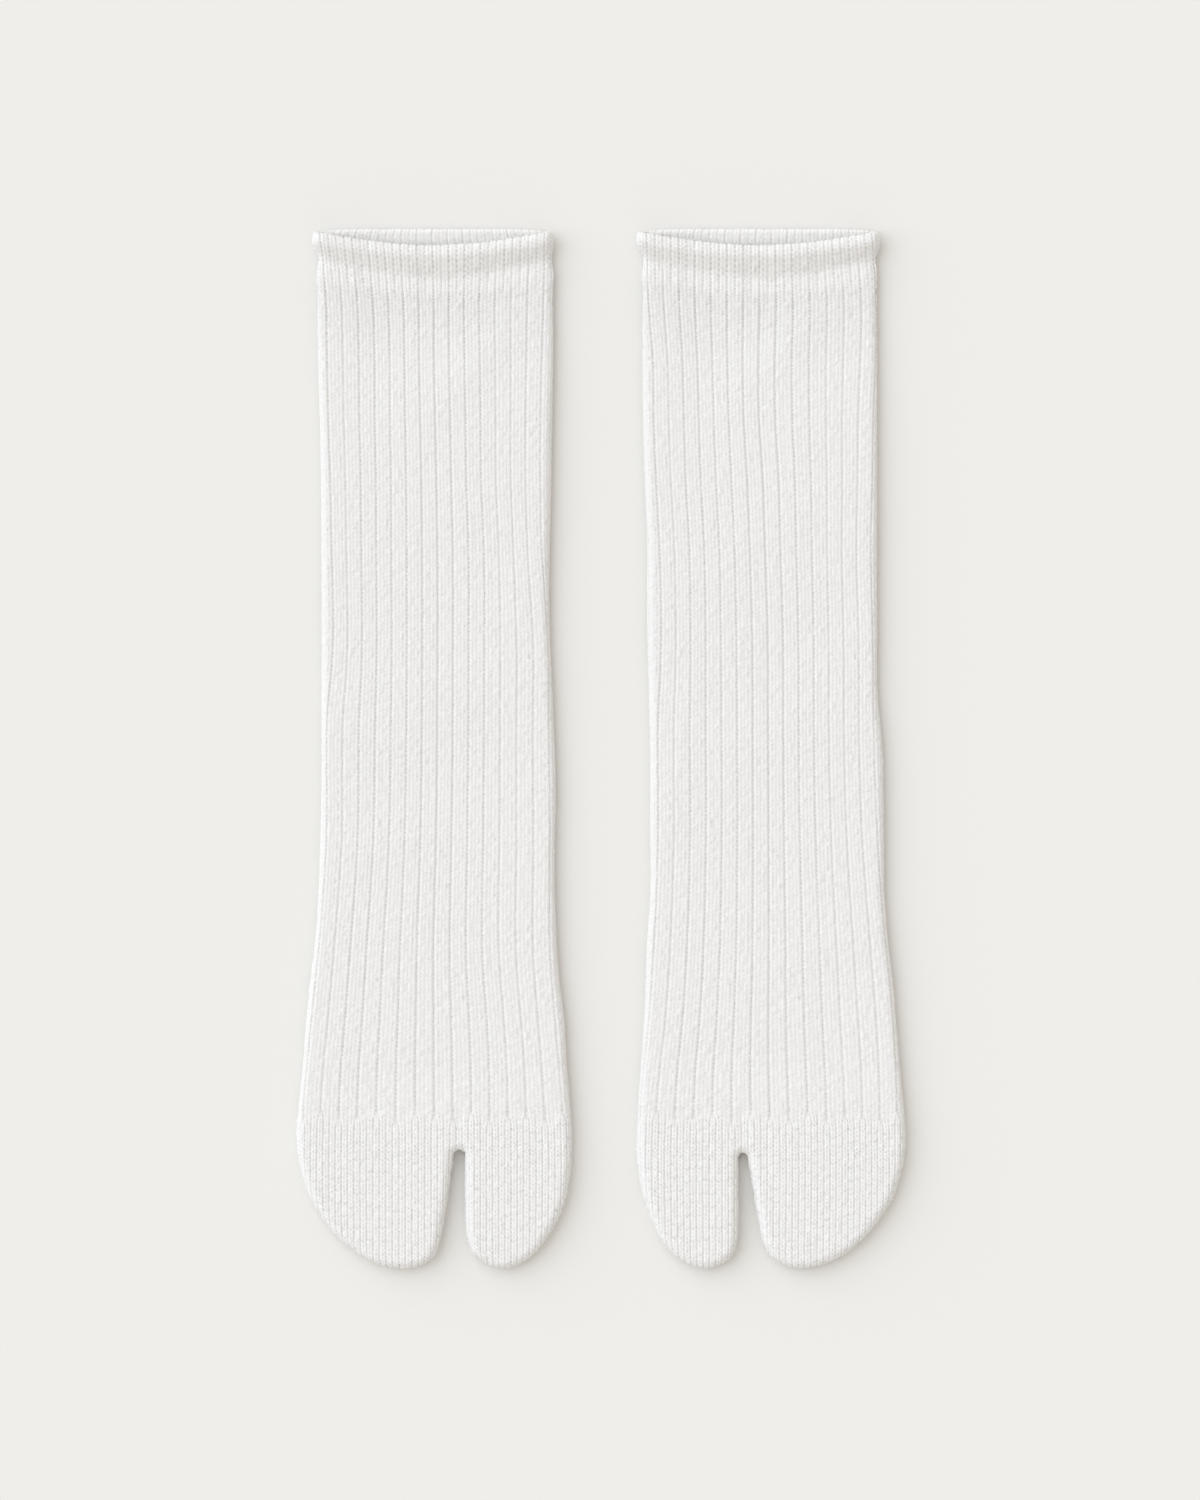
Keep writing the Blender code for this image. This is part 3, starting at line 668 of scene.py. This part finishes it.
def add_piece(name, grids):
    """Object made of one or more grids.

    Each grid is given by its points, the height of the knit, the two stitch numbers, its
    box on the map, and whether its last column closes on its first."""
    points, faces, bake, stitch, painted_shade = [], [], [], [], []
    first = 0
    for grid, height, wale, course, box, closed in grids:
        rows, count = grid.shape[:2]
        corners, row, column = grid_faces(rows, count, closed)
        points.append(grid.reshape(-1, 3))
        # painted shade: the deeper the knit at a point, the darker its colour
        painted_shade.append(np.clip(-height / DEEPEST, 0, 1).ravel())
        faces.append(corners + first)
        first += rows * count
        whole = count if closed else count - 1
        u = box[0] + (box[2] - box[0]) * column / whole
        v = box[3] - (box[3] - box[1]) * row / (rows - 1)
        bake.append(np.stack((u, v), axis=2))
        wale_of = wale.ravel()[corners]
        wale_of = wale_of + RIBS_ROUND * (column == count)
        stitch.append(np.stack((wale_of, course.ravel()[corners]), axis=2))
    points = (np.concatenate(points) + SHIFT) * MM
    faces = np.concatenate(faces)
    mesh = bpy.data.meshes.new(name)
    mesh.vertices.add(len(points))
    mesh.vertices.foreach_set("co", points.ravel())
    mesh.loops.add(faces.size)
    mesh.loops.foreach_set("vertex_index", faces.ravel().astype(np.int32))
    mesh.polygons.add(len(faces))
    mesh.polygons.foreach_set("loop_start", np.arange(0, faces.size, 4, dtype=np.int32))
    mesh.update(calc_edges=True)
    for map_name, corners in (("OFBake", bake), ("Stitch", stitch)):
        layer = mesh.uv_layers.new(name=map_name)
        layer.uv.foreach_set("vector", np.concatenate(corners).ravel())
    # the painted shade is kept on each point for the yarn's colour
    shade = mesh.attributes.new("painted_shade", "FLOAT", "POINT")
    shade.data.foreach_set("value", np.concatenate(painted_shade).astype(np.float32))
    mesh.shade_smooth()
    piece = bpy.data.objects.new(name, mesh)
    bpy.context.scene.collection.objects.link(piece)
    print(name, 2 * len(faces), "triangles")
    return piece


# %% Cuff, leg and foot
pieces = {}
foot_ends = {}                  # the foot's last row of points, above and underneath
for foot in SOCKS:
    parts = (
        ("cuff", tube_ways[0], CUFF_END, COLUMNS_IN_RIB),
        ("leg", CUFF_END, LEG_END, UNDER_COLUMNS),
        ("foot", LEG_END, FOOT_END, UNDER_COLUMNS),
    )
    for part, start, end, under in parts:
        ways = tube_ways[(tube_ways > start - ROW / 2) & (tube_ways < end + ROW / 2)]
        # one more row at each end gives neighbouring pieces the same normals where they meet
        points, height, wale, course = tube(foot, (ways[0] - ROW, *ways, ways[-1] + ROW), under)
        points = push(points, height)[1:-1]
        grid = (points, height[1:-1], wale[1:-1], course[1:-1], WHOLE, True)
        pieces[foot, part] = add_piece(f"{foot}_{part}", [grid])
    front = points[-1, :, 2] > WALL + at("gap", TOE_START) / 2
    for top in (True, False):
        last = points[-1, front == top]
        foot_ends[foot, top] = last[np.argsort(last[:, 0])]

# %% [markdown]
# ## The toe pockets
# The tube ends in two pockets, one for the big toe and one for the others. Here the height
# of the cloth follows the distance from the outline, so the edge is as round along the
# slit and round the tips as it is at the sides. Each pocket has a fine top and a coarse
# underside that rests flat. They share their edge points, and the two pockets meet in the
# middle above the slit. The toes' first row is tucked in under the foot's edge.

# %% Rows and columns of the toes
TOE_ROW = 0.44                  # from one row of points to the next
SLIT_NEAR = 3.0                 # from this far above the slit the rows lie closer together,
ROWS_ABOVE_SLIT = 8             # and there are this many, the last one
LAST_ABOVE_SLIT = 0.25          # this far above the slit
ROWS_ROUND_SLIT = 7             # round the slit's end
TIP_REACH = 8.0                 # and from this far above the tips there are
ROWS_AT_TIP = 34
PLACES_IN_LEG = (0, 0.2, 0.8)   # of the columns, across one leg of a V
TOE_PLACES = [
    (leg + part) / LEGS_IN_RIB for leg in range(LEGS_IN_RIB) for part in PLACES_IN_LEG
]
TOE_REACH = 9.0                 # the columns reach this many ribs to each side
PAST_SLIT = 1.0                 # and this many past the slit's middle
NEAR_OUTLINE = 14.0             # stretch of outline, up and down, that a row looks at
TRIAL_POINTS = 240              # points in which a row is measured
RELIEF_START, RELIEF_END = 2.0, 6.0     # ways under the edge between which stitches fade
UNDER_DEPTH = 0.2               # where they have faded, the cloth lies this deep
TIP_FADE = 0.12                 # below this level they fade too, so that the tip closes
TUCK = 0.5                      # how far the toes reach up inside the foot's last row
TUCK_DEPTH = 0.15               # and how deep
JOINT_EDGE = 0.3                # this near the side folds the joint is left as it is


def toe_levels(plan):
    """Levels of the rows, closer together round the slit's end and at the tips."""
    start, end = TOE_START, plan.slit_end
    whole = np.concatenate(([start + TUCK], np.arange(start, end + SLIT_NEAR, -TOE_ROW)))
    above = np.linspace(whole[-1] - TOE_ROW, end + LAST_ABOVE_SLIT, ROWS_ABOVE_SLIT)
    round_end = end - SLIT_ROUND * (1 - np.cos(np.linspace(0, np.pi / 2, ROWS_ROUND_SLIT)))
    steps = round((round_end[-1] - TIP_REACH) / TOE_ROW)
    middle = np.linspace(round_end[-1], TIP_REACH, steps, endpoint=False)[1:]
    tip = TIP_REACH * (1 - np.cos(np.linspace(np.pi / 2, 0, ROWS_AT_TIP)))
    return np.concatenate((whole, above, round_end, middle, tip))


def spread_wales(wales, plain):
    """Columns placed for plain knit, moved to where the same stitches lie in the ribs."""
    rib = np.round(wales)
    part = np.abs(wales - rib)
    half = HIDDEN_WALE + (OPEN_WALE - HIDDEN_WALE) * plain
    outer = half + (part - OPEN_WALE) * (0.5 - half) / (0.5 - OPEN_WALE)
    moved = np.where(part < OPEN_WALE, part * half / OPEN_WALE, outer)
    return rib + np.sign(wales - rib) * moved


class ToeRow:
    """One row of points over one half of the toes, on the top or underneath."""

    def __init__(self, foot, half, level, top):
        self.foot, self.level, self.top = foot, level, top
        self.plan = SOCKS[foot]
        self.half_height = WALL + at("gap", level) / 2
        self.reach = UPPER_FOLD if top else LOWER_FOLD
        if level >= self.plan.slit_end:
            slit = (self.plan.slit_middle, self.plan.slit_middle)
        else:
            slit = [self.plan.slit_edge(name, level) for name in ("slit_left", "slit_right")]
        if half == "left":
            self.ends = (self.plan.side("left", level), slit[0])
        else:
            self.ends = (slit[1], self.plan.side("right", level))

    def form(self, x):
        """Way out of the sock, angle round the fold, relief, and place in the cloth laid flat."""
        depth, out = self.plan.nearest(x, self.level, NEAR_OUTLINE)
        depth = np.where(depth < ON_EDGE, 0, depth)
        angle = np.arccos(np.clip(1 - depth / self.reach, 0, 1))
        if self.top:
            beyond = depth + SPARE - np.interp(angle, UPPER_ANGLE, UPPER_WAY)
            beyond = np.where(depth < UPPER_FOLD, beyond, 0)
            relief = np.ones(len(x))
        else:
            under = np.interp(angle, LOWER_ANGLE, LOWER_WAY) + np.maximum(depth - LOWER_FOLD, 0)
            beyond = depth + SPARE + under
            relief = 1 - step(under, RELIEF_START, RELIEF_END)
        return out, angle, relief, x + out[:, 0] * beyond, self.level + out[:, 1] * beyond

    def points(self, wales):
        """Points at the given wales; those past an edge gather on the edge."""
        start, end = self.ends
        turn = np.linspace(0, np.pi, TRIAL_POINTS)
        trial = start + (end - start) * (1 - np.cos(turn)) / 2
        places = wale_places(self.foot, np.array([self.level]), WALE_TABLE)[0]
        if self.top:
            wales = spread_wales(wales, 1 - broad_share(self.level, wales))
            x = np.interp(np.interp(wales, WALE_TABLE, places), self.form(trial)[3], trial)
        else:
            x = np.interp(np.linspace(0, 1, len(wales)), np.linspace(0, 1, len(trial)), trial)
        out, angle, relief, cloth_x, cloth_y = self.form(x)
        wale = np.interp(cloth_x, places, WALE_TABLE)
        course = (TOE_START + FOOT_END - cloth_y) / COURSE
        height = worn_knit(wale, course, broad_share(cloth_y, wale), 0)
        height = height * step(self.level, 0.0, TIP_FADE)
        height = height * relief - UNDER_DEPTH * (1 - relief)
        height = height - (TUCK_DEPTH if self.level > TOE_START else 0)
        side = 1 if self.top else -1
        flat, steep = np.cos(angle) / self.reach, side * np.sin(angle) / self.half_height
        normal = np.column_stack((out[:, 0] * flat, out[:, 1] * flat, steep))
        normal /= np.linalg.norm(normal, axis=1)[:, None]
        z = self.half_height * (1 + side * np.sin(angle))
        if self.top:
            z = z + swell(self.foot, x, self.level) * np.sin(angle) ** 2
        points = np.column_stack((x, np.full(len(x), self.level), z))
        points = points + normal * height[:, None]
        points[:, 2] = np.maximum(points[:, 2], 0)
        return points, height, wale, course


def toe_grid(foot, half, top, foot_end):
    """Grid of one half of the toes, ordered so that its faces look outward.

    The first row is tucked in; the second one lies on foot_end, the foot's last points."""
    plan = SOCKS[foot]
    middle = np.interp(
        plan.slit_middle,
        wale_places(foot, np.array([plan.slit_end]), WALE_TABLE)[0],
        WALE_TABLE,
    )
    if half == "left":
        start, end = -TOE_REACH, middle + PAST_SLIT
    else:
        start, end = middle - PAST_SLIT, TOE_REACH
    wales = columns(TOE_PLACES if top else UNDER_COLUMNS, start, end)
    rows = [ToeRow(foot, half, level, top).points(wales) for level in toe_levels(plan)]
    grids = [np.array(values) for values in zip(*rows)]
    joint = grids[0][1]
    low_end, high_end = foot_end[0, 0] + JOINT_EDGE, foot_end[-1, 0] - JOINT_EDGE
    inner = (joint[:, 0] > low_end) & (joint[:, 0] < high_end)
    for axis in (1, 2):
        joint[inner, axis] = np.interp(joint[inner, 0], foot_end[:, 0], foot_end[:, axis])
    return grids if top else [values[:, ::-1] for values in grids]


# %% Toes
WELD = 0.004 * MM               # points closer than this become one
SLIVER = WELD / 10              # and a face thinner than this is dropped
UNDER_MAP = 0.2                 # share of the map that the undersides take
for foot in SOCKS:
    grids = []
    for half, box in (("left", (0.0, 0.5)), ("right", (0.5, 1.0))):
        for top in (True, False):
            low, high = (UNDER_MAP, 1.0) if top else (0.0, UNDER_MAP)
            values = toe_grid(foot, half, top, foot_ends[foot, top])
            grids.append((*values, (box[0], low, box[1], high), False))
    piece = add_piece(f"{foot}_toes", grids)
    shape = bmesh.new()
    shape.from_mesh(piece.data)
    bmesh.ops.remove_doubles(shape, verts=shape.verts, dist=WELD)
    bmesh.ops.dissolve_degenerate(shape, edges=shape.edges, dist=SLIVER)
    open_edges = [edge for edge in shape.edges if edge.is_boundary]
    print(piece.name, "open edge", round(sum(edge.calc_length() for edge in open_edges), 3), "m")
    shape.to_mesh(piece.data)
    shape.free()
    pieces[foot, "toes"] = piece

# %% [markdown]
# ## Yarn, paper floor and light
# Cotton scatters light from countless fibres, so it is rough, has almost no highlight and
# a weak soft sheen. The yarn's twist and its short loose fibres are too fine for the mesh,
# so a bump adds them. Deep between the stitches the yarn's colour is darkened as painted
# shade, for light that the mesh alone doesn't hold back there. The floor is plain and pale.
# One very wide, cool light shines from the upper left, and warmer surroundings fill the
# rest, which keeps the shadows short and pale.

# %% Cotton
YARN_COLOUR = (0.875, 0.857, 0.837, 1)
# the yarn darkened by painted shade, deep between the stitches
PAINTED_SHADE_COLOUR = (0.70, 0.683, 0.662, 1)
FIBRE_SHARE = 0.6               # weight of the single fibres beside their clumps


def add_node(tree, kind, **inputs):
    """Shader node with some of its sockets set."""
    node = tree.nodes.new(kind)
    for name, value in inputs.items():
        node.inputs[name.replace("_", " ")].default_value = value
    return node


def cotton():
    """White cotton yarn with loose fibres, with shade painted into its colour deep between the
    stitches.
    """
    material = bpy.data.materials.new("cotton_knit")
    material.use_nodes = True
    tree = material.node_tree
    shader = tree.nodes["Principled BSDF"]
    shader.inputs["Roughness"].default_value = 0.92
    shader.inputs["Specular IOR Level"].default_value = 0.15
    shader.inputs["Sheen Weight"].default_value = 0.12
    shader.inputs["Sheen Roughness"].default_value = 0.5
    place = add_node(tree, "ShaderNodeTexCoord")
    fibre = add_node(tree, "ShaderNodeTexNoise", Scale=1500.0, Detail=3.0, Roughness=0.6)
    clump = add_node(tree, "ShaderNodeTexNoise", Scale=600.0, Detail=2.0, Roughness=0.5)
    both = add_node(tree, "ShaderNodeMath")
    both.operation = "MULTIPLY_ADD"
    both.inputs[1].default_value = FIBRE_SHARE
    bump = add_node(tree, "ShaderNodeBump", Strength=0.7, Distance=0.0004)
    # painted shade: darkens the yarn's colour deep between the stitches
    painted_shade = tree.nodes.new("ShaderNodeAttribute")
    painted_shade.attribute_name = "painted_shade"
    colour = add_node(tree, "ShaderNodeValToRGB")
    for stop, place_of_stop, tone in zip(
        colour.color_ramp.elements, (0.0, 1.0), (YARN_COLOUR, PAINTED_SHADE_COLOUR)
    ):
        stop.position, stop.color = place_of_stop, tone
    link = tree.links.new
    link(place.outputs["Object"], fibre.inputs["Vector"])
    link(place.outputs["Object"], clump.inputs["Vector"])
    link(fibre.outputs["Fac"], both.inputs[0])
    link(clump.outputs["Fac"], both.inputs[2])
    link(both.outputs[0], bump.inputs["Height"])
    link(bump.outputs["Normal"], shader.inputs["Normal"])
    link(painted_shade.outputs["Fac"], colour.inputs["Fac"])
    link(colour.outputs["Color"], shader.inputs["Base Color"])
    return material


yarn = cotton()
for piece in pieces.values():
    piece.data.materials.append(yarn)

# %% [markdown]
# ## The pieces
# Every piece rides on the pair's body and takes the place of its sock's solid. Each is
# also printed as the flat cloth it is made from: all the way round the tube, times its
# length along the cloth.

# %% Pieces and their flat sizes
def area(piece):
    """Area of a piece's surface in square metres."""
    return sum(face.area for face in piece.data.polygons)


TUBE_ROUND = 2 * 93.0           # all round the tube, at rest and laid flat
for (foot, part), piece in pieces.items():
    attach(piece, "root")
    if part == "toes":
        length = TOE_START
    else:
        start, end = {
            "cuff": (tube_ways[0], CUFF_END),
            "leg": (CUFF_END, LEG_END),
            "foot": (LEG_END, FOOT_END),
        }[part]
        length = end - start
    flat = (TUBE_ROUND * MM, length * MM)
    share = area(piece) / (flat[0] * flat[1])
    print(piece.name, "flat", [round(side, 4) for side in flat], "surface", round(share, 2))
for foot in SOCKS:
    for part in ("cuff", "leg", "foot", "toes"):
        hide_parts(f"sock_{foot}")

# %% [markdown]
# ## The studio
# The camera looks straight down from high up through a long lens, so the socks show nearly
# without perspective. The sun lamp's wide angle makes it a soft light, and its strength is
# set from the brightness that white paper on the floor should have.

# %% Floor
FLOOR_SIZE = 8.0                # metres
FLOOR_COLOUR = (0.80, 0.783, 0.748)


def plain_material(name, colour, roughness):
    """One colour without a pattern."""
    material = bpy.data.materials.new(name)
    material.use_nodes = True
    shader = material.node_tree.nodes["Principled BSDF"]
    shader.inputs["Base Color"].default_value = (*colour, 1)
    shader.inputs["Roughness"].default_value = roughness
    shader.inputs["Specular IOR Level"].default_value = 0.0
    return material


bpy.ops.mesh.primitive_plane_add(size=FLOOR_SIZE, location=(0, 0, 0))
floor = bpy.context.object
floor.name = "floor"
floor.data.materials.append(plain_material("paper", FLOOR_COLOUR, 1.0))

# %% Camera
CAMERA_HEIGHT = 2.4             # metres above the floor
VIEW_HEIGHT = 562.5 * MM        # height of the picture on the floor
VIEW_MIDDLE = (-0.4 * MM, -0.5 * MM)
SENSOR = 36.0                   # height of the camera's sensor in millimetres
camera_data = bpy.data.cameras.new("camera")
camera_data.sensor_fit = "VERTICAL"
camera_data.sensor_height = SENSOR
camera_data.lens = SENSOR * CAMERA_HEIGHT / VIEW_HEIGHT
camera = bpy.data.objects.new("camera", camera_data)
camera.location = (*VIEW_MIDDLE, CAMERA_HEIGHT)
bpy.context.scene.collection.objects.link(camera)
bpy.context.scene.camera = camera

# %% Light
KEY_FROM = (-0.80, 0.46, 0.72)  # the key light's direction, from the object
KEY_SPREAD = 80.0               # its apparent width, in degrees
KEY_COLOUR, FILL_COLOUR = (1.0, 1.114, 1.251), (1.0, 0.97, 0.93)
LIGHT = 1.08                    # white paper's brightness on the floor
KEY_SHARE = 0.28                # and the key light's share of it
key_from = np.array(KEY_FROM) / np.linalg.norm(KEY_FROM)
key_data = bpy.data.lights.new("key", "SUN")
key_data.angle = math.radians(KEY_SPREAD)
key_data.color = KEY_COLOUR
key_data.energy = math.pi * LIGHT * KEY_SHARE / key_from[2]
key = bpy.data.objects.new("key", key_data)
key.rotation_euler = (
    math.acos(key_from[2]),
    0.0,
    math.atan2(key_from[1], key_from[0]) + math.pi / 2,
)
bpy.context.scene.collection.objects.link(key)

world = bpy.data.worlds.new("surroundings")
world.use_nodes = True
world.node_tree.nodes["Background"].inputs["Color"].default_value = (*FILL_COLOUR, 1)
world.node_tree.nodes["Background"].inputs["Strength"].default_value = LIGHT * (1 - KEY_SHARE)
bpy.context.scene.world = world
bpy.context.scene.view_settings.view_transform = "Standard"
